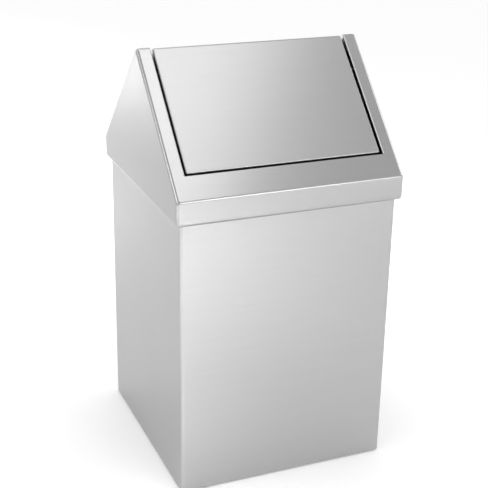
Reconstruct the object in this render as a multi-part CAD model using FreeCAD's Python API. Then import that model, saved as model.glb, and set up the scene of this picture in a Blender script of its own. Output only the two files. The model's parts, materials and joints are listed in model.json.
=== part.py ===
"""Swing-lid trash can in satin sheet steel.

Millimetres. The origin is on the floor under the middle of the bin, +Z is up, the front faces -Y and +X is
to the right of someone who looks at the front.
"""
import FreeCAD, Part
import math
import os

# Bin body
body_width = 330.0
body_depth = 330.0
body_sheet = 0.8
body_corner_bend = 5.0
shell_height = 444.0
rim_hem = 10.0
hem_gap = 0.4
return_flange = 18.0
rear_panel_side_gap = 0.5

# Floor pan and feet
pan_sheet = 1.0
pan_depth = 15.0
pan_corner = 6.0
foot_stand = 3.0
foot_inset = 36.0
foot_top_diameter = 28.0
foot_floor_diameter = 23.0
foot_edge_round = 1.5
foot_recess_diameter = 11.0
foot_recess_depth = 9.0
foot_screw_diameter = 4.0
foot_screw_head_diameter = 8.0
foot_screw_head_height = 2.6
foot_screw_slot_width = 1.0
foot_screw_slot_depth = 1.2
foot_washer_diameter = 9.0
foot_washer_thickness = 0.8
foot_nut_flats = 7.0
foot_nut_height = 3.2
screw_tail = 1.5

# Hood
hood_sheet = 0.8
hood_overhang = 7.0
skirt_lap = 24.0
rim_to_fold = 12.0
roof_rise = 171.0
hood_fold_bend = 5.5
hood_end_bend = 5.0
lip_clearance = 1.0
rail_width = 21.0
lower_rail = 39.0
window_flange = 10.0
window_bend = 1.5

# Strips inside the hood that rest on the rim
seat_sheet = 1.0
seat_tongue_drop = 12.0
seat_end_gap = 22.0
seat_fold_gap = 3.0
seat_rest_gap = 0.1
tongue_clearance = 1.0

# Swing lid
lid_gap = 3.5
lid_recess = 1.5
lid_sheet = 0.8
lid_flange = 10.0
lid_edge_bend = 2.0
swing_limit = 60.0

# Pivots
gusset_sheet = 1.5
plate_sheet = 1.5
plate_edge_gap = 0.3
plate_corner = 3.0
stop_web = 6.0
shoulder_diameter = 8.0
screw_head_diameter = 13.0
screw_head_height = 4.0
screw_socket_flats = 5.0
screw_socket_depth = 2.5
thread_diameter = 6.0
pivot_nut_flats = 10.0
pivot_nut_height = 5.0
running_clearance = 0.05
bush_wall = 1.5
bush_flange_diameter = 16.0
bush_flange_gap = 1.2
bush_tail = 1.7
bush_play = 0.4

# Swing stops
bush_to_slot = 4.5
peg_diameter = 6.0
peg_head_height = 1.5
peg_head_overhang = 1.5
sleeve_wall = 1.0
sleeve_reach = 4.0
slot_clearance = 0.5

# Rivets
rivet_diameter = 3.2
rivet_head_diameter = 6.0
rivet_head_height = 1.0
rivet_tail_diameter = 4.8
rivet_tail_height = 1.2
rivet_lower = 14.0
rivet_pitch = 36.0

hole_clearance = 0.1
cut_margin = 20.0

# Levels and half sizes that follow from the sizes above
body_half_width = body_width / 2
body_half_depth = body_depth / 2
rim_top = foot_stand + shell_height
pan_top = foot_stand + pan_depth
pan_underside = pan_top - pan_sheet
rear_panel_outer = body_half_depth - body_sheet
rear_panel_inner = rear_panel_outer - body_sheet
hem_depth = 2 * body_sheet + hem_gap

hood_half_width = body_half_width + hood_overhang
hood_half_depth = body_half_depth + hood_overhang
hood_bottom = rim_top - skirt_lap
fold_height = rim_top + rim_to_fold
ridge_top = fold_height + roof_rise
ridge_centre_rise = roof_rise - hood_fold_bend
slope_angle = (math.atan2(ridge_centre_rise, hood_half_depth)
               + math.asin(hood_fold_bend / math.hypot(hood_half_depth, ridge_centre_rise)))
slope_cos = math.cos(slope_angle)
slope_sin = math.sin(slope_angle)
apex_height = fold_height + hood_half_depth * math.tan(slope_angle)

window_half_width = hood_half_width - rail_width
lid_half_width = window_half_width - lid_gap
lid_low = lower_rail + lid_gap
lid_flange_inside = lid_half_width - lid_sheet
gusset_inside = lid_flange_inside - gusset_sheet
plate_inside = window_half_width + hood_sheet
plate_outside = plate_inside + plate_sheet

bush_flange_radius = bush_flange_diameter / 2
pivot_depth = lid_recess + lid_flange + bush_flange_gap + bush_flange_radius
pivot_height = apex_height - pivot_depth / slope_cos
sleeve_diameter = peg_diameter + 2 * sleeve_wall
slot_half_width = sleeve_diameter / 2 + slot_clearance
stop_radius = bush_flange_radius + bush_to_slot + slot_half_width
peg_height = pivot_height - stop_radius
plate_bottom = peg_height - slot_half_width - stop_web
rivet_hole = rivet_diameter + 2 * hole_clearance
plate_rivet_depth = (hood_sheet + window_flange) / 2
gusset_rivet_depth = lid_recess + (lid_sheet + lid_flange) / 2


def vector(x, y, z):
    return FreeCAD.Vector(x, y, z)


def rounded_outline(corners, place):
    """Closed wire through (u, v, radius) corners, each rounded by a tangent arc. place maps (u, v) to 3D."""
    count = len(corners)
    spans = []
    for index, (u, v, radius) in enumerate(corners):
        before = corners[index - 1]
        after = corners[(index + 1) % count]
        into = math.atan2(v - before[1], u - before[0])
        out = math.atan2(after[1] - v, after[0] - u)
        turn = math.remainder(out - into, 2 * math.pi)
        setback = radius * math.tan(abs(turn) / 2)
        start = (u - setback * math.cos(into), v - setback * math.sin(into))
        end = (u + setback * math.cos(out), v + setback * math.sin(out))
        middle = None
        if radius > 0:
            reach = radius / math.cos(turn / 2) - radius
            inward = into + turn / 2 + math.copysign(math.pi / 2, turn)
            middle = (u + reach * math.cos(inward), v + reach * math.sin(inward))
        spans.append((start, middle, end))
    edges = []
    for index, (start, middle, end) in enumerate(spans):
        if middle is not None:
            edges.append(Part.Arc(place(*start), place(*middle), place(*end)).toShape())
        next_start = spans[(index + 1) % count][0]
        edges.append(Part.makeLine(place(*end), place(*next_start)))
    return Part.Wire(edges)


def prism_x(corners, x_low, x_high):
    """Solid between two X planes with a (y, z, radius) outline."""
    outline = rounded_outline(corners, lambda y, z: vector(x_low, y, z))
    return Part.Face(outline).extrude(vector(x_high - x_low, 0, 0))


def prism_y(corners, y_low, y_high):
    """Solid between two Y planes with an (x, z, radius) outline."""
    outline = rounded_outline(corners, lambda x, z: vector(x, y_low, z))
    return Part.Face(outline).extrude(vector(0, y_high - y_low, 0))


def block(x_low, x_high, y_low, y_high, z_low, z_high):
    size = (x_high - x_low, y_high - y_low, z_high - z_low)
    return Part.makeBox(*size, vector(x_low, y_low, z_low))


def rounded_block(x_low, x_high, y_low, y_high, z_low, z_high, radius):
    """Upright block with its four upright edges rounded."""
    corners = [
        (x_low, y_low, radius),
        (x_high, y_low, radius),
        (x_high, y_high, radius),
        (x_low, y_high, radius),
    ]
    outline = rounded_outline(corners, lambda x, y: vector(x, y, z_low))
    return Part.Face(outline).extrude(vector(0, 0, z_high - z_low))


def body_block(inset, z_low, z_high):
    """Block of the body's plan, drawn in by inset on all four sides."""
    x_half = body_half_width - inset
    y_half = body_half_depth - inset
    corner = body_corner_bend - inset
    return rounded_block(-x_half, x_half, -y_half, y_half, z_low, z_high, corner)


def rod_x(diameter, x_low, x_high, y, z):
    return Part.makeCylinder(diameter / 2, x_high - x_low, vector(x_low, y, z), vector(1, 0, 0))


def rod_z(diameter, x, y, z_low, z_high):
    return Part.makeCylinder(diameter / 2, z_high - z_low, vector(x, y, z_low), vector(0, 0, 1))


def hexagon(flats, place):
    """Closed six-sided wire with the given width across flats."""
    reach = flats / math.sqrt(3)
    angles = [math.radians(60 * step) for step in range(6)]
    points = [place(reach * math.cos(angle), reach * math.sin(angle)) for angle in angles]
    return Part.makePolygon(points + points[:1])


def hexagon_x(flats, x_low, x_high, y, z):
    outline = hexagon(flats, lambda u, v: vector(x_low, y + u, z + v))
    return Part.Face(outline).extrude(vector(x_high - x_low, 0, 0))


def hexagon_z(flats, x, y, z_low, z_high):
    outline = hexagon(flats, lambda u, v: vector(x + u, y + v, z_low))
    return Part.Face(outline).extrude(vector(0, 0, z_high - z_low))


def on_slope(along, depth):
    """Point (y, z) of the front slope: along is measured up from the fold, depth inwards from the surface."""
    y = -hood_half_depth + along * slope_cos + depth * slope_sin
    z = fold_height + along * slope_sin - depth * slope_cos
    return y, z


def slope_place(point):
    """Along and depth of a point on either slope, the reverse of on_slope."""
    y = -abs(point.y) + hood_half_depth
    z = point.z - fold_height
    return y * slope_cos + z * slope_sin, y * slope_sin - z * slope_cos


def near(value, target):
    return abs(value - target) < 1e-4


def chevron(low, top_depth, bottom_depth):
    """Outline of a layer that follows both slopes over the ridge, from along = low on either side."""
    front_top = on_slope(low, top_depth)
    front_bottom = on_slope(low, bottom_depth)
    top_bend = hood_fold_bend - top_depth
    apex_top = apex_height - top_depth / slope_cos
    apex_bottom = apex_height - bottom_depth / slope_cos
    return [
        (front_top[0], front_top[1], 0),
        (0, apex_top, top_bend),
        (-front_top[0], front_top[1], 0),
        (-front_bottom[0], front_bottom[1], 0),
        (0, apex_bottom, 0),
        (front_bottom[0], front_bottom[1], 0),
    ]


def roof_zone(low):
    """Block over everything above along = low on both slopes, wide enough to cut the whole hood."""
    outside = on_slope(low, -cut_margin)
    inside = on_slope(low, 2 * cut_margin)
    corners = [
        (outside[0], outside[1], 0),
        (0, apex_height + 2 * cut_margin, 0),
        (-outside[0], outside[1], 0),
        (-inside[0], inside[1], 0),
        (inside[0], inside[1], 0),
    ]
    reach = hood_half_width + cut_margin
    return prism_x(corners, -reach, reach)


def mirrored(shape):
    return shape.mirror(vector(0, 0, 0), vector(1, 0, 0))


def make_body_wrap():
    """Front and side walls from one sheet, with rear returns and a rim folded down inside."""
    wall = body_block(0, foot_stand, rim_top).cut(body_block(body_sheet, foot_stand, rim_top))
    hem_low = rim_top - rim_hem
    lip_inset = body_sheet + hem_gap
    lip = body_block(lip_inset, hem_low, rim_top).cut(body_block(hem_depth, hem_low, rim_top))
    cap_low = rim_top - body_sheet
    cap = body_block(body_sheet, cap_low, rim_top).cut(body_block(hem_depth, cap_low, rim_top))
    hem = lip.fuse(cap)
    rear_relief = rear_panel_inner - hem_depth
    x_reach = body_half_width + cut_margin
    y_reach = body_half_depth + cut_margin
    hem = hem.cut(block(-x_reach, x_reach, rear_relief, y_reach, hem_low, rim_top))
    opening_half = body_half_width - return_flange
    rear_low = body_half_depth - body_corner_bend
    rear_opening = block(-opening_half, opening_half, rear_low, y_reach, foot_stand, rim_top)
    return wall.cut(rear_opening).fuse(hem).removeSplitter()


def make_rear_panel():
    """Rear wall, lapped inside the returns of the wrap, with its own folded rim."""
    half = body_half_width - body_corner_bend - rear_panel_side_gap
    lip_outer = rear_panel_inner - hem_gap
    lip_inner = lip_outer - body_sheet
    sheet = block(-half, half, rear_panel_inner, rear_panel_outer, foot_stand, rim_top)
    lip = block(-half, half, lip_inner, lip_outer, rim_top - rim_hem, rim_top)
    cap = block(-half, half, lip_inner, rear_panel_inner, rim_top - body_sheet, rim_top)
    return sheet.fuse([lip, cap]).removeSplitter()


def foot_places():
    """Middle of each foot, by name."""
    x = body_half_width - foot_inset
    y = body_half_depth - foot_inset
    return {
        "foot_front_left": (-x, -y),
        "foot_front_right": (x, -y),
        "foot_rear_left": (-x, y),
        "foot_rear_right": (x, y),
    }


def make_base_pan():
    """Floor sheet with its edges turned down inside the walls."""
    x_half = body_half_width - body_sheet
    y_front = -(body_half_depth - body_sheet)
    outer = rounded_block(-x_half, x_half, y_front, rear_panel_inner, foot_stand, pan_top, pan_corner)
    inner = rounded_block(
        -x_half + pan_sheet, x_half - pan_sheet, y_front + pan_sheet, rear_panel_inner - pan_sheet,
        foot_stand, pan_underside, pan_corner - pan_sheet)
    pan = outer.cut(inner)
    hole_diameter = foot_screw_diameter + 2 * hole_clearance
    for x, y in foot_places().values():
        pan = pan.cut(rod_z(hole_diameter, x, y, pan_underside, pan_top))
    return pan


def make_foot(x, y):
    """Tapered rubber foot with a recess for its screw."""
    foot = Part.makeCone(foot_floor_diameter / 2, foot_top_diameter / 2, pan_underside, vector(x, y, 0))
    floor_edge = [edge for edge in foot.Edges if near(edge.BoundBox.ZMax, 0)]
    foot = foot.makeFillet(foot_edge_round, floor_edge)
    foot = foot.cut(rod_z(foot_recess_diameter, x, y, 0, foot_recess_depth))
    return foot.cut(rod_z(foot_screw_diameter + 2 * hole_clearance, x, y, 0, pan_underside))


def make_foot_screw(x, y):
    """Slotted screw that comes up through the foot and the pan."""
    head_low = foot_recess_depth - foot_screw_head_height
    shank_top = pan_top + foot_washer_thickness + foot_nut_height + screw_tail
    head = rod_z(foot_screw_head_diameter, x, y, head_low, foot_recess_depth)
    shank = rod_z(foot_screw_diameter, x, y, foot_recess_depth, shank_top)
    slot_half_length = foot_screw_head_diameter / 2
    slot_half_width = foot_screw_slot_width / 2
    slot = block(
        x - slot_half_length, x + slot_half_length, y - slot_half_width, y + slot_half_width,
        head_low, head_low + foot_screw_slot_depth)
    return head.fuse(shank).cut(slot)


def make_foot_washer(x, y):
    washer_top = pan_top + foot_washer_thickness
    bore = rod_z(foot_screw_diameter + 2 * hole_clearance, x, y, pan_top, washer_top)
    return rod_z(foot_washer_diameter, x, y, pan_top, washer_top).cut(bore)


def make_foot_nut(x, y):
    nut_low = pan_top + foot_washer_thickness
    nut_top = nut_low + foot_nut_height
    bore = rod_z(foot_screw_diameter + 2 * running_clearance, x, y, nut_low, nut_top)
    return hexagon_z(foot_nut_flats, x, y, nut_low, nut_top).cut(bore)


def hood_block(inset):
    """Solid of the hood's outside, drawn in by inset, with all its folds rounded."""
    half_width = hood_half_width - inset
    half_depth = hood_half_depth - inset
    bottom = hood_bottom + inset
    fold = fold_height + inset * math.tan(slope_angle) - inset / slope_cos
    apex = apex_height - inset / slope_cos
    bend = hood_fold_bend - inset
    corners = [
        (-half_depth, bottom, bend),
        (-half_depth, fold, bend),
        (0, apex, bend),
        (half_depth, fold, bend),
        (half_depth, bottom, bend),
    ]
    solid = prism_x(corners, -half_width, half_width)
    end_edges = [edge for edge in solid.Edges if near(edge.BoundBox.XLength, 0)]
    return solid.makeFillet(hood_end_bend - inset, end_edges)


def make_hood_skin():
    """Whole sheet skin of the hood, open underneath inside its rolled lower lip."""
    skin = hood_block(0).cut(hood_block(hood_sheet))
    x_half = body_half_width + lip_clearance
    y_half = body_half_depth + lip_clearance
    corner = body_corner_bend + lip_clearance
    mouth_low = hood_bottom - hood_sheet
    mouth_top = hood_bottom + 2 * hood_sheet
    return skin.cut(rounded_block(-x_half, x_half, -y_half, y_half, mouth_low, mouth_top, corner))


def rivet_places(depth):
    """Points (y, z) of the four rivets of one pivot plate or gusset, at the given depth under the slope."""
    end_along = (plate_bottom - fold_height + depth * slope_cos) / slope_sin
    places = []
    for step in range(2):
        y, z = on_slope(end_along + rivet_lower + step * rivet_pitch, depth)
        places.append((y, z))
        places.append((-y, z))
    return places


def drill_x(shape, diameter, places, x_low, x_high):
    for y, z in places:
        shape = shape.cut(rod_x(diameter, x_low, x_high, y, z))
    return shape


def make_gable_right(skin, zone):
    """Right end of the hood with the rails beside the window, whose edges turn in."""
    x_reach = hood_half_width + cut_margin
    y_reach = hood_half_depth + cut_margin
    side = block(window_half_width, x_reach, -y_reach, y_reach, hood_bottom - cut_margin,
                 apex_height + cut_margin)
    end = skin.common(side)
    flange = prism_x(chevron(lower_rail, 0, window_flange), window_half_width, plate_inside)
    rails = end.common(zone).fuse(flange).removeSplitter()
    bend_edges = []
    for edge in rails.Edges:
        at_window = all(near(vertex.X, window_half_width) for vertex in edge.Vertexes)
        on_surface = all(near(slope_place(vertex.Point)[1], 0) for vertex in edge.Vertexes)
        if at_window and on_surface:
            bend_edges.append(edge)
    rails = rails.makeFillet(window_bend, bend_edges)
    gable = rails.fuse(end.cut(zone)).removeSplitter()
    return drill_x(gable, rivet_hole, rivet_places(plate_rivet_depth), window_half_width, plate_inside)


def make_front_apron(skin, zone):
    """Band, lower rail and lip across the front, with the window's lower edge turned in."""
    reach = hood_half_depth + cut_margin
    front = block(-window_half_width, window_half_width, -reach, 0, hood_bottom - cut_margin,
                  apex_height + cut_margin)
    low = lower_rail - hood_sheet
    corners = [on_slope(low, 0), on_slope(lower_rail, 0), on_slope(lower_rail, window_flange),
               on_slope(low, window_flange)]
    flange = prism_x([(y, z, 0) for y, z in corners], -window_half_width, window_half_width)
    apron = skin.common(front).cut(zone).fuse(flange).removeSplitter()
    bend_edges = []
    for edge in apron.Edges:
        places = [slope_place(vertex.Point) for vertex in edge.Vertexes]
        if all(near(along, lower_rail) and near(depth, 0) for along, depth in places):
            bend_edges.append(edge)
    return apron.makeFillet(window_bend, bend_edges)


def seat_section(outer, rim_face):
    """Outline (distance from the middle, z, radius) of a seat strip: a leg, a shelf and a tongue."""
    shelf_low = rim_top + seat_rest_gap
    shelf_top = shelf_low + seat_sheet
    leg_top = fold_height - seat_fold_gap
    tongue_outer = rim_face - tongue_clearance
    tongue_inner = tongue_outer - seat_sheet
    tongue_low = rim_top - seat_tongue_drop
    return [
        (outer, shelf_low, 0),
        (outer, leg_top, 0),
        (outer - seat_sheet, leg_top, 0),
        (outer - seat_sheet, shelf_top, 0),
        (tongue_inner, shelf_top, 0),
        (tongue_inner, tongue_low, 0),
        (tongue_outer, tongue_low, 0),
        (tongue_outer, shelf_low, 0),
    ]


def make_seat_strips():
    """The four strips by node name, one on each inner face of the band."""
    x_half = hood_half_width - seat_end_gap
    y_half = hood_half_depth - seat_end_gap
    x_face = hood_half_width - hood_sheet
    y_face = hood_half_depth - hood_sheet
    side_section = seat_section(x_face, body_half_width - hem_depth)
    front_section = seat_section(y_face, body_half_depth - hem_depth)
    rear_section = seat_section(y_face, rear_panel_outer - hem_depth)
    right = prism_y(side_section, -y_half, y_half)
    return {
        "seat_strip_front": prism_x([(-y, z, r) for y, z, r in front_section], -x_half, x_half),
        "seat_strip_rear": prism_x(rear_section, -x_half, x_half),
        "seat_strip_right": right,
        "seat_strip_left": mirrored(right),
    }


def end_plate(edge_depth, x_low, x_high):
    """Three-cornered plate under the ridge, with its two upper edges along the slopes."""
    along = (plate_bottom - fold_height + edge_depth * slope_cos) / slope_sin
    y, z = on_slope(along, edge_depth)
    top = apex_height - edge_depth / slope_cos
    top_corner = max(plate_corner, hood_fold_bend - edge_depth)
    corners = [(y, z, plate_corner), (0, top, top_corner), (-y, z, plate_corner)]
    return prism_x(corners, x_low, x_high)


def make_pivot_plate():
    """Right plate behind the rails, with holes for the shoulder screw, the stop peg and its rivets."""
    screw_hole = thread_diameter + 2 * hole_clearance
    peg_hole = peg_diameter + 2 * hole_clearance
    plate = end_plate(hood_sheet + plate_edge_gap, plate_inside, plate_outside)
    plate = drill_x(plate, screw_hole, [(0, pivot_height)], plate_inside, plate_outside)
    plate = drill_x(plate, peg_hole, [(0, peg_height)], plate_inside, plate_outside)
    return drill_x(plate, rivet_hole, rivet_places(plate_rivet_depth), plate_inside, plate_outside)


def make_stop_slot():
    """Cutter for the arc slot that lets the stop peg pass from one limit of the swing to the other."""
    def ring_point(radius, angle):
        return vector(gusset_inside, radius * math.sin(angle), pivot_height - radius * math.cos(angle))

    limit = math.radians(swing_limit)
    inner = stop_radius - slot_half_width
    outer = stop_radius + slot_half_width
    tip = limit + slot_half_width / stop_radius
    arcs = [
        (ring_point(outer, -limit), ring_point(outer, 0), ring_point(outer, limit)),
        (ring_point(outer, limit), ring_point(stop_radius, tip), ring_point(inner, limit)),
        (ring_point(inner, limit), ring_point(inner, 0), ring_point(inner, -limit)),
        (ring_point(inner, -limit), ring_point(stop_radius, -tip), ring_point(outer, -limit)),
    ]
    outline = Part.Wire([Part.Arc(*points).toShape() for points in arcs])
    return Part.Face(outline).extrude(vector(gusset_sheet, 0, 0))


def make_lid_gusset():
    """Right end plate of the lid, with the bush hole and the arc slot of the stop."""
    edge_depth = lid_recess + lid_edge_bend + plate_edge_gap
    gusset = end_plate(edge_depth, gusset_inside, lid_flange_inside)
    bush_hole = shoulder_diameter + 2 * (running_clearance + bush_wall + hole_clearance)
    gusset = drill_x(gusset, bush_hole, [(0, pivot_height)], gusset_inside, lid_flange_inside)
    gusset = gusset.cut(make_stop_slot())
    return drill_x(gusset, rivet_hole, rivet_places(gusset_rivet_depth), gusset_inside, lid_flange_inside)


def lid_block(inset, bottom_depth):
    """Solid of the lid's outside, drawn in by inset, with the turned edges rounded."""
    low = lid_low + inset
    depth = lid_recess + inset
    half = lid_half_width - inset
    solid = prism_x(chevron(low, depth, bottom_depth), -half, half)
    edges = []
    for edge in solid.Edges:
        places = [slope_place(vertex.Point) for vertex in edge.Vertexes]
        on_end = near(edge.BoundBox.XLength, 0)
        on_surface = all(near(place[1], depth) for place in places)
        on_lower_edge = all(near(place[0], low) for place in places)
        if (on_end and on_surface) or (on_end and on_lower_edge) or (on_surface and on_lower_edge):
            edges.append(edge)
    return solid.makeFillet(lid_edge_bend - inset, edges)


def make_lid_panel():
    """Sheet folded over the ridge, with all its edges turned in."""
    outer = lid_block(0, lid_recess + lid_flange)
    inner = lid_block(lid_sheet, lid_recess + lid_flange + lid_sheet)
    panel = outer.cut(inner)
    places = rivet_places(gusset_rivet_depth)
    panel = drill_x(panel, rivet_hole, places, lid_flange_inside, lid_half_width)
    return drill_x(panel, rivet_hole, places, -lid_half_width, -lid_flange_inside)


def make_rivet(head_face, tail_face, y, z):
    """Rivet along X with its rounded head outside head_face and its tail beyond tail_face."""
    direction = math.copysign(1, tail_face - head_face)
    axis = vector(direction, 0, 0)
    head_start = vector(head_face - direction * rivet_head_height, y, z)
    head = Part.makeCylinder(rivet_head_diameter / 2, rivet_head_height, head_start, axis)
    crown = [edge for edge in head.Edges if near(edge.CenterOfMass.x, head_start.x)]
    head = head.makeFillet(rivet_head_height / 2, crown)
    shank = Part.makeCylinder(rivet_diameter / 2, abs(tail_face - head_face), vector(head_face, y, z), axis)
    tail = Part.makeCylinder(rivet_tail_diameter / 2, rivet_tail_height, vector(tail_face, y, z), axis)
    return head.fuse([shank, tail]).removeSplitter()


def make_rivet_group(head_face, tail_face, places):
    """One rivet at each place on the right, and its mirror image on the left."""
    right = [make_rivet(head_face, tail_face, y, z) for y, z in places]
    return Part.makeCompound(right + [mirrored(rivet) for rivet in right])


def make_pivot_screw():
    """Right shoulder screw, put in from inside the lid and clamped to the pivot plate."""
    shoulder_low = gusset_inside - bush_tail - bush_play
    head_low = shoulder_low - screw_head_height
    thread_end = plate_outside + pivot_nut_height + screw_tail
    head = rod_x(screw_head_diameter, head_low, shoulder_low, 0, pivot_height)
    shoulder = rod_x(shoulder_diameter, shoulder_low, plate_inside, 0, pivot_height)
    thread = rod_x(thread_diameter, plate_inside, thread_end, 0, pivot_height)
    socket = hexagon_x(screw_socket_flats, head_low, head_low + screw_socket_depth, 0, pivot_height)
    return head.fuse([shoulder, thread]).cut(socket)


def make_pivot_nut():
    nut_end = plate_outside + pivot_nut_height
    bore = rod_x(thread_diameter + 2 * running_clearance, plate_outside, nut_end, 0, pivot_height)
    return hexagon_x(pivot_nut_flats, plate_outside, nut_end, 0, pivot_height).cut(bore)


def make_pivot_bush():
    """Right bush: a sleeve through the gusset and a flange that spaces the lid from the pivot plate."""
    bore = shoulder_diameter + 2 * running_clearance
    sleeve_low = gusset_inside - bush_tail
    flange_end = plate_inside - bush_play
    sleeve = rod_x(bore + 2 * bush_wall, sleeve_low, lid_flange_inside, 0, pivot_height)
    flange = rod_x(bush_flange_diameter, lid_flange_inside, flange_end, 0, pivot_height)
    return sleeve.fuse(flange).cut(rod_x(bore, sleeve_low, flange_end, 0, pivot_height))


def make_stop_peg():
    """Right peg, riveted to the pivot plate, with a head that keeps its sleeve on."""
    head_diameter = sleeve_diameter + peg_head_overhang
    sleeve_low = gusset_inside - sleeve_reach
    head = rod_x(head_diameter, sleeve_low - peg_head_height, sleeve_low, 0, peg_height)
    shank = rod_x(peg_diameter, sleeve_low, plate_outside, 0, peg_height)
    tail = rod_x(head_diameter, plate_outside, plate_outside + peg_head_height, 0, peg_height)
    return head.fuse([shank, tail])


def make_stop_sleeve():
    sleeve_low = gusset_inside - sleeve_reach
    bore = rod_x(peg_diameter + 2 * hole_clearance, sleeve_low, plate_inside, 0, peg_height)
    return rod_x(sleeve_diameter, sleeve_low, plate_inside, 0, peg_height).cut(bore)


def make_parts():
    """Every piece by node name."""
    parts = {
        "body_wrap": make_body_wrap(),
        "rear_panel": make_rear_panel(),
        "base_pan": make_base_pan(),
    }
    feet = foot_places()
    for name, (x, y) in feet.items():
        parts[name] = make_foot(x, y)
    parts["foot_screws"] = Part.makeCompound([make_foot_screw(x, y) for x, y in feet.values()])
    parts["foot_washers"] = Part.makeCompound([make_foot_washer(x, y) for x, y in feet.values()])
    parts["foot_nuts"] = Part.makeCompound([make_foot_nut(x, y) for x, y in feet.values()])

    skin = make_hood_skin()
    zone = roof_zone(lower_rail)
    parts["front_apron"] = make_front_apron(skin, zone)
    parts["rear_apron"] = parts["front_apron"].mirror(vector(0, 0, 0), vector(0, 1, 0))
    parts.update(make_seat_strips())
    parts["lid_panel"] = make_lid_panel()

    handed = {
        "gable": make_gable_right(skin, zone),
        "pivot_plate": make_pivot_plate(),
        "pivot_screw": make_pivot_screw(),
        "pivot_nut": make_pivot_nut(),
        "pivot_bush": make_pivot_bush(),
        "stop_peg": make_stop_peg(),
        "stop_sleeve": make_stop_sleeve(),
        "lid_gusset": make_lid_gusset(),
    }
    for name, shape in handed.items():
        parts[name + "_right"] = shape
        parts[name + "_left"] = mirrored(shape)

    plate_places = rivet_places(plate_rivet_depth)
    parts["pivot_plate_rivets"] = make_rivet_group(window_half_width, plate_outside, plate_places)
    gusset_places = rivet_places(gusset_rivet_depth)
    parts["lid_gusset_rivets"] = make_rivet_group(lid_half_width, gusset_inside, gusset_places)
    return parts


os.makedirs("parts", exist_ok=True)
for node, part_shape in make_parts().items():
    part_shape.exportStep("parts/" + node + ".step")
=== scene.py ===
"""Looks of the swing-lid trash can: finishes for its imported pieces, weld marks, studio and camera.

Metres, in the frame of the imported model: the floor is z = 0, the front faces -Y and +X is to the right.
"""
import json
import math

import bmesh
import bpy
from mathutils import Matrix, Vector


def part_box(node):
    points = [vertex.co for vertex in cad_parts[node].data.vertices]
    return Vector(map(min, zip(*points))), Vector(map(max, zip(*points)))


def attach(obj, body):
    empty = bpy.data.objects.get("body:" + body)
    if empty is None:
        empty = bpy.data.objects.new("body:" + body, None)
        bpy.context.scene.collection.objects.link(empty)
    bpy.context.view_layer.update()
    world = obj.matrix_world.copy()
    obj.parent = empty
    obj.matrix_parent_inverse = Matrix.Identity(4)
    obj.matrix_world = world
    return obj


# Camera, at the photograph's viewing angle
CAMERA_PLACE = Vector((-0.6302, -1.4886, 0.9663))
CAMERA_HEADING = math.radians(22.87)
CAMERA_DIP = math.radians(22.02)
CAMERA_ROLL = math.radians(1.07)
CAMERA_LENS = 82.76
CAMERA_SENSOR = 36.0

# The part of a noise's range that is used for a number, and for the way from one tone to another
NUMBER_FROM = 0.25
NUMBER_TO = 0.75
TONE_FROM = 0.3
TONE_TO = 0.7

# Sheets of the hood, smoother than the body, and a shade darker as painted shade
HOOD_SHEETS = ("gable_left", "gable_right", "front_apron", "rear_apron")

# Dull and bright tones of the satin sheets: the hood's and lid's are a shade lower than the body's, as painted
# shade
BODY_TONES = (0.438, 0.451)
HOOD_SHADED_TONES = (0.412, 0.424)
LID_SHADED_TONES = (0.418, 0.43)

# Least and most roughness of the satin sheets, and how far handling takes it up or down
BODY_ROUGHNESS = (0.28, 0.32)
HOOD_ROUGHNESS = (0.23, 0.26)
LID_ROUGHNESS = (0.28, 0.32)
HANDLING_MARKS = 0.015

# Painted shade on the flat left and right ends: their tone as a share of the rest, and how deep in from them
# it fades out
BODY_END_PAINTED_SHADE = 0.89
HOOD_END_PAINTED_SHADE = 0.77
LID_END_PAINTED_SHADE = 1.0
END_FADE_START = 0.0007
END_FADE_DONE = 0.0001

# Stretch of the satin's brushed grain and streaks, which run level
GRAIN_STRETCH = (0.02, 0.02, 1.0)
STREAK_STRETCH = (0.03, 0.03, 1.0)
NO_STRETCH = (1.0, 1.0, 1.0)

# Spot welds through the rear return flanges of the body
WELD_ROW_X = 0.1535
WELD_FACE_Y = 0.165
WELD_LOWEST = 0.045
WELD_PITCH = 0.06
WELDS_IN_ROW = 7
WELD_RADIUS = 0.003
WELD_TOP_RADIUS = 0.0026
WELD_PROUD = 0.0002
WELD_SUNK = 0.0003
WELD_RIM = 0.0009
WELD_DISH = 0.00012
WELD_SIDES = 24
NEARLY_REARWARD = 0.99

# Studio: a white floor, a room that is white at the walls and darker overhead, and soft boxes in pairs
WHITE = (1, 1, 1, 1)
FLOOR_HALF = 8.0
FLOOR_TONE = (0.9, 0.9, 0.9, 1)
FLOOR_GLOW = 0.18
WALL_STRENGTH = 1.05
CEILING_STRENGTH = 0.75
WALL_TOP = 0.45
CEILING_EDGE = 0.8
WIDE_GRID = math.radians(100)
TIGHT_GRID = math.radians(60)
NARROW_GRID = math.radians(20)
LID_BOX_TURN = math.radians(-18)


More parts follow.
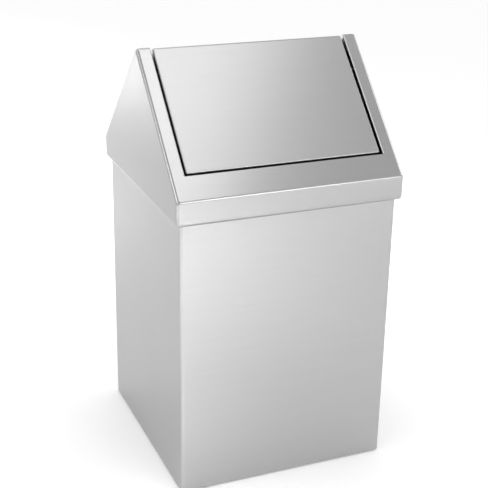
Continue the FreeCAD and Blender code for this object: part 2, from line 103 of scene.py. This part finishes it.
class Tree:
    """A material's nodes, added and linked by name."""

    def __init__(self, name, **sockets):
        self.material = bpy.data.materials.new(name)
        self.material.use_nodes = True
        self.nodes = self.material.node_tree.nodes
        self.shader = self.nodes["Principled BSDF"]
        for socket, value in sockets.items():
            self.shader.inputs[socket.replace("_", " ")].default_value = value

    def add(self, kind, **settings):
        node = self.nodes.new(kind)
        for name, value in settings.items():
            setattr(node, name, value)
        return node

    def link(self, source, target):
        self.material.node_tree.links.new(source, target)

    def object_noise(self, scale, detail, roughness, stretch=NO_STRETCH):
        """Noise on Object coordinates, with its grains stretched by a Mapping node."""
        place = self.add("ShaderNodeTexCoord")
        mapping = self.add("ShaderNodeMapping")
        mapping.inputs["Scale"].default_value = stretch
        noise = self.add("ShaderNodeTexNoise")
        noise.inputs["Scale"].default_value = scale
        noise.inputs["Detail"].default_value = detail
        noise.inputs["Roughness"].default_value = roughness
        self.link(place.outputs["Object"], mapping.inputs["Vector"])
        self.link(mapping.outputs["Vector"], noise.inputs["Vector"])
        return noise.outputs["Fac"]

    def remap(self, value, start, end, low, high):
        """Low where the value is at start or before it, high at end or past it, and even between them."""
        node = self.add("ShaderNodeMapRange")
        node.inputs["From Min"].default_value = start
        node.inputs["From Max"].default_value = end
        node.inputs["To Min"].default_value = low
        node.inputs["To Max"].default_value = high
        self.link(value, node.inputs["Value"])
        return node.outputs["Result"]

    def spread(self, noise, low, high):
        """Spreads a noise over the range from low to high."""
        return self.remap(noise, NUMBER_FROM, NUMBER_TO, low, high)

    def painted_end_shade(self, share, half_width):
        """Painted shade: a factor of share on the flat ends, half a width to the left and right, and 1
        elsewhere.
        """
        place = self.add("ShaderNodeTexCoord")
        parts = self.add("ShaderNodeSeparateXYZ")
        sideways = self.add("ShaderNodeMath", operation="ABSOLUTE")
        self.link(place.outputs["Object"], parts.inputs["Vector"])
        self.link(parts.outputs["X"], sideways.inputs[0])
        start = half_width - END_FADE_START
        end = half_width - END_FADE_DONE
        return self.remap(sideways.outputs["Value"], start, end, 1.0, share)

    def combine(self, operation, first, second):
        node = self.add("ShaderNodeMath", operation=operation)
        self.link(first, node.inputs[0])
        self.link(second, node.inputs[1])
        return node.outputs["Value"]

    def tones(self, noise, dark, light):
        """Colour between two tones, by a noise."""
        ramp = self.add("ShaderNodeValToRGB")
        ramp.color_ramp.elements[0].position = TONE_FROM
        ramp.color_ramp.elements[0].color = (*dark, 1)
        ramp.color_ramp.elements[1].position = TONE_TO
        ramp.color_ramp.elements[1].color = (*light, 1)
        self.link(noise, ramp.inputs["Fac"])
        return ramp.outputs["Color"]

    def bump(self, noise, depth, strength):
        node = self.add("ShaderNodeBump")
        node.inputs["Distance"].default_value = depth
        node.inputs["Strength"].default_value = strength
        self.link(noise, node.inputs["Height"])
        return node.outputs["Normal"]

    def finish(self, tone, roughness, normal):
        """Gives the shader its tone, roughness and normal, and hands over the material."""
        self.link(tone, self.shader.inputs["Base Color"])
        self.link(roughness, self.shader.inputs["Roughness"])
        self.link(normal, self.shader.inputs["Normal"])
        return self.material


def satin_steel(name, tones, roughness, end_painted_shade, widest):
    """Satin sheet steel: fine level grain, faint long streaks and a little unevenness from handling.

    The flat ends are a shade darker, which is painted shade.
    The widest piece gives their place.
    """
    tree = Tree(name, Metallic=1.0)
    grain = tree.object_noise(scale=2400.0, detail=3.0, roughness=0.6, stretch=GRAIN_STRETCH)
    streaks = tree.object_noise(scale=320.0, detail=2.0, roughness=0.5, stretch=STREAK_STRETCH)
    handling = tree.object_noise(scale=7.0, detail=3.0, roughness=0.5)
    half_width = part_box(widest)[1][0]
    streaked = tree.spread(streaks, *tones)
    brushed = tree.spread(grain, *roughness)
    handled = tree.spread(handling, -HANDLING_MARKS, HANDLING_MARKS)
    # The tone is the streaked satin times painted shade on the flat ends
    return tree.finish(
        tone=tree.combine("MULTIPLY", streaked, tree.painted_end_shade(end_painted_shade, half_width)),
        roughness=tree.combine("ADD", brushed, handled),
        normal=tree.bump(grain, depth=0.00002, strength=0.2))


def plain_steel():
    """Mill-finish sheet of the parts inside: greyer and duller, with soft cloudy patches."""
    tree = Tree("plain_steel_finish", Metallic=1.0)
    clouds = tree.object_noise(scale=30.0, detail=4.0, roughness=0.6)
    speckle = tree.object_noise(scale=900.0, detail=3.0, roughness=0.6)
    return tree.finish(
        tone=tree.tones(clouds, dark=(0.44, 0.445, 0.45), light=(0.52, 0.52, 0.52)),
        roughness=tree.spread(clouds, 0.4, 0.5),
        normal=tree.bump(speckle, depth=0.00003, strength=0.3))


def zinc_plate():
    """Bright zinc plating of screws, nuts, pegs and rivets, with a faint fine speckle."""
    tree = Tree("zinc_plate_finish", Metallic=1.0)
    clouds = tree.object_noise(scale=160.0, detail=2.0, roughness=0.5)
    speckle = tree.object_noise(scale=1500.0, detail=2.0, roughness=0.5)
    return tree.finish(
        tone=tree.tones(clouds, dark=(0.6, 0.62, 0.64), light=(0.7, 0.71, 0.71)),
        roughness=tree.spread(clouds, 0.2, 0.32),
        normal=tree.bump(speckle, depth=0.00002, strength=0.3))


def black_oxide():
    """Black oxide of the rivets that show in the running gap, a little browner where it is thin."""
    tree = Tree("black_oxide_finish", Metallic=0.6)
    clouds = tree.object_noise(scale=240.0, detail=3.0, roughness=0.5)
    skin = tree.object_noise(scale=2200.0, detail=2.0, roughness=0.5)
    return tree.finish(
        tone=tree.tones(clouds, dark=(0.022, 0.022, 0.023), light=(0.04, 0.038, 0.036)),
        roughness=tree.spread(clouds, 0.45, 0.58),
        normal=tree.bump(skin, depth=0.00002, strength=0.3))


def bush_nylon():
    """Black nylon of the pivot bushes, with a soft moulded sheen."""
    tree = Tree("nylon_finish", Metallic=0.0)
    clouds = tree.object_noise(scale=220.0, detail=3.0, roughness=0.5)
    skin = tree.object_noise(scale=2600.0, detail=2.0, roughness=0.5)
    return tree.finish(
        tone=tree.tones(clouds, dark=(0.036, 0.036, 0.038), light=(0.055, 0.055, 0.057)),
        roughness=tree.spread(clouds, 0.42, 0.52),
        normal=tree.bump(skin, depth=0.00002, strength=0.3))


def foot_rubber():
    """Black rubber of the feet and the stop sleeves, with a dusty bloom."""
    tree = Tree("rubber_finish", Metallic=0.0)
    bloom = tree.object_noise(scale=140.0, detail=4.0, roughness=0.6)
    skin = tree.object_noise(scale=3000.0, detail=2.0, roughness=0.5)
    return tree.finish(
        tone=tree.tones(bloom, dark=(0.028, 0.028, 0.03), light=(0.05, 0.05, 0.052)),
        roughness=tree.spread(bloom, 0.6, 0.75),
        normal=tree.bump(skin, depth=0.00003, strength=0.4))


def weld_steel():
    """Steel of a spot weld: duller than the sheet, with a faint straw tint from the heat."""
    tree = Tree("weld_mark_finish", Metallic=1.0)
    tint = tree.object_noise(scale=420.0, detail=2.0, roughness=0.5)
    skin = tree.object_noise(scale=2600.0, detail=3.0, roughness=0.6)
    return tree.finish(
        tone=tree.tones(tint, dark=(0.39, 0.37, 0.34), light=(0.45, 0.44, 0.43)),
        roughness=tree.spread(skin, 0.38, 0.5),
        normal=tree.bump(skin, depth=0.00002, strength=0.3))


def dress_nodes():
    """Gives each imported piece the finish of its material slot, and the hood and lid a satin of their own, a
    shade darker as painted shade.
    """
    body_satin_shaded = satin_steel("body_satin_with_painted_shade", BODY_TONES, BODY_ROUGHNESS, BODY_END_PAINTED_SHADE,
                             widest="body_wrap")
    hood_satin_shaded = satin_steel("hood_satin_with_painted_shade", HOOD_SHADED_TONES, HOOD_ROUGHNESS, HOOD_END_PAINTED_SHADE,
                             widest="gable_right")
    lid_satin_shaded = satin_steel("lid_satin_with_painted_shade", LID_SHADED_TONES, LID_ROUGHNESS, LID_END_PAINTED_SHADE,
                            widest="lid_panel")
    finishes = {
        "satin_steel": body_satin_shaded,
        "plain_steel": plain_steel(),
        "zinc_hardware": zinc_plate(),
        "black_rivets": black_oxide(),
        "nylon": bush_nylon(),
        "rubber": foot_rubber(),
    }
    for subpart in frame["record"]["subparts"]:
        finish = finishes[subpart["material_slot"]]
        # The hood sheets and the lid take their darker copies of the satin, as painted shade
        if subpart["node"] in HOOD_SHEETS:
            finish = hood_satin_shaded
        if subpart["node"] == "lid_panel":
            finish = lid_satin_shaded
        for material_slot in frame["nodes"][subpart["node"]].material_slots:
            material_slot.material = finish


def add_piece(name, shape, material):
    """Makes an object of a finished bmesh, with its place in its mesh."""
    mesh = bpy.data.meshes.new(name)
    shape.to_mesh(mesh)
    shape.free()
    mesh.materials.append(material)
    piece = bpy.data.objects.new(name, mesh)
    bpy.context.scene.collection.objects.link(piece)
    return piece


def make_weld_marks():
    """Two upright rows of dished spot welds, which hold the return flanges to the rear panel."""
    shape = bmesh.new()
    face_rear = Matrix.Rotation(math.radians(-90), 4, "X")
    thickness = WELD_PROUD + WELD_SUNK
    middle = WELD_FACE_Y + (WELD_PROUD - WELD_SUNK) / 2
    for x in (-WELD_ROW_X, WELD_ROW_X):
        for row in range(WELDS_IN_ROW):
            place = Matrix.Translation((x, middle, WELD_LOWEST + row * WELD_PITCH))
            bmesh.ops.create_cone(shape, cap_ends=True, segments=WELD_SIDES, depth=thickness,
                                  radius1=WELD_RADIUS, radius2=WELD_TOP_RADIUS,
                                  matrix=place @ face_rear)
    shape.normal_update()
    tops = [face for face in shape.faces if face.normal.y > NEARLY_REARWARD]
    bmesh.ops.inset_region(shape, faces=tops, thickness=WELD_RIM, depth=-WELD_DISH,
                           use_even_offset=True)
    marks = add_piece("weld_marks", shape, weld_steel())
    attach(marks, "bin_body")


def floor_paint():
    """White paint. What the camera and the steel see of it is lifted to white, and it keeps the shadow."""
    tree = Tree("floor_paint", Base_Color=FLOOR_TONE, Roughness=0.9, Specular_IOR_Level=0.1,
                Emission_Color=WHITE)
    ray = tree.add("ShaderNodeLightPath")
    seen = tree.combine("ADD", ray.outputs["Is Camera Ray"], ray.outputs["Is Glossy Ray"])
    seen = tree.combine("ADD", seen, ray.outputs["Is Transmission Ray"])
    glow = tree.remap(seen, 0.0, 1.0, 0.0, FLOOR_GLOW)
    tree.link(glow, tree.shader.inputs["Emission Strength"])
    return tree.material


def make_floor():
    shape = bmesh.new()
    bmesh.ops.create_grid(shape, x_segments=1, y_segments=1, size=FLOOR_HALF)
    floor = add_piece("studio_floor", shape, floor_paint())


def white_room():
    """World light: white from the floor to the top of the walls, fading to a darker ceiling."""
    world = bpy.data.worlds.new("white_room")
    world.use_nodes = True
    nodes = world.node_tree.nodes
    links = world.node_tree.links
    direction = nodes.new("ShaderNodeTexCoord")
    parts = nodes.new("ShaderNodeSeparateXYZ")
    fade = nodes.new("ShaderNodeMapRange")
    fade.interpolation_type = "SMOOTHSTEP"
    fade.inputs["From Min"].default_value = WALL_TOP
    fade.inputs["From Max"].default_value = CEILING_EDGE
    fade.inputs["To Min"].default_value = WALL_STRENGTH
    fade.inputs["To Max"].default_value = CEILING_STRENGTH
    links.new(direction.outputs["Generated"], parts.inputs["Vector"])
    links.new(parts.outputs["Z"], fade.inputs["Value"])
    links.new(fade.outputs["Result"], nodes["Background"].inputs["Strength"])
    nodes["Background"].inputs["Color"].default_value = WHITE
    bpy.context.scene.world = world


def softbox(name, place, aim, width, height, power, spread=math.pi, turn=0.0):
    """A soft box in front and its twin behind, turned half round the bin, so all sides are lit alike."""
    towards = Vector(aim) - Vector(place)
    aimed = towards.to_track_quat("-Z", "Y").to_matrix().to_4x4()
    stand = Matrix.Translation(place) @ aimed @ Matrix.Rotation(turn, 4, "Z")
    for side, half_turn in (("front", 0.0), ("rear", math.pi)):
        lamp = bpy.data.lights.new(f"{name}_{side}", "AREA")
        lamp.shape = "RECTANGLE"
        lamp.size = width
        lamp.size_y = height
        lamp.energy = power
        lamp.spread = spread
        box = bpy.data.objects.new(f"{name}_{side}", lamp)
        box.matrix_world = Matrix.Rotation(half_turn, 4, "Z") @ stand
        box.visible_camera = False
        bpy.context.scene.collection.objects.link(box)


def light_studio():
    """The room and its soft boxes.

    The pools light patches of the floor, which the upright faces mirror. The fold and band boxes give
    the hood's bends and band their bright edges, and a box hangs over each side of the lid.
    """
    white_room()
    softbox("near_pool", place=(-0.15, -1.2, 1.2), aim=(-0.15, -1.2, 0.0),
            width=0.5, height=0.5, power=4.5, spread=TIGHT_GRID)
    softbox("side_pool", place=(-1.2, -0.3, 1.2), aim=(-1.2, -0.3, 0.0),
            width=0.5, height=0.5, power=4.4, spread=TIGHT_GRID)
    softbox("corner_pool", place=(-0.25, -0.45, 0.6), aim=(-0.25, -0.45, 0.0),
            width=0.25, height=0.25, power=0.33, spread=TIGHT_GRID)
    softbox("far_pool", place=(1.2, -2.6, 1.3), aim=(1.1, -2.6, 0.0),
            width=0.8, height=0.8, power=13.0, spread=WIDE_GRID)
    softbox("fold_box", place=(-2.7, -0.15, 1.95), aim=(-0.17, -0.1, 0.6),
            width=1.2, height=1.2, power=0.35, spread=NARROW_GRID)
    softbox("band_box", place=(1.2, -3.0, 1.55), aim=(0.0, -0.17, 0.55),
            width=1.2, height=1.2, power=0.35, spread=NARROW_GRID)
    softbox("lid_box", place=(0.18, -0.55, 2.0), aim=(0.18, -0.55, 0.0),
            width=0.8, height=1.2, power=4.5, turn=LID_BOX_TURN)


def place_camera():
    """Sets the camera at its place, looking along its heading and dip, and rolls it about its view."""
    lens = bpy.data.cameras.new("photo_camera")
    lens.lens = CAMERA_LENS
    lens.sensor_width = CAMERA_SENSOR
    camera = bpy.data.objects.new("photo_camera", lens)
    level = math.cos(CAMERA_DIP)
    forward = Vector((level * math.sin(CAMERA_HEADING),
                      level * math.cos(CAMERA_HEADING),
                      -math.sin(CAMERA_DIP)))
    upright = forward.to_track_quat("-Z", "Y").to_matrix().to_4x4()
    roll = Matrix.Rotation(CAMERA_ROLL, 4, "Z")
    camera.matrix_world = Matrix.Translation(CAMERA_PLACE) @ upright @ roll
    bpy.context.scene.collection.objects.link(camera)
    bpy.context.scene.camera = camera


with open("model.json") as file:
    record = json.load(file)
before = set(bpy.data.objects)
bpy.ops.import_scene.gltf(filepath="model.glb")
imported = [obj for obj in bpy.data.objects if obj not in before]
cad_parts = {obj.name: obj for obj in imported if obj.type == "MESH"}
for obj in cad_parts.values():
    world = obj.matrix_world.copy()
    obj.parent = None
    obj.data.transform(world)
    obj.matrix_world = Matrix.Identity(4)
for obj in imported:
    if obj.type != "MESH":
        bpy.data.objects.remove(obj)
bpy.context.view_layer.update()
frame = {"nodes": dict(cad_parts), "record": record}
bpy.context.scene.view_settings.view_transform = "Standard"
dress_nodes()
make_weld_marks()
make_floor()
light_studio()
place_camera()
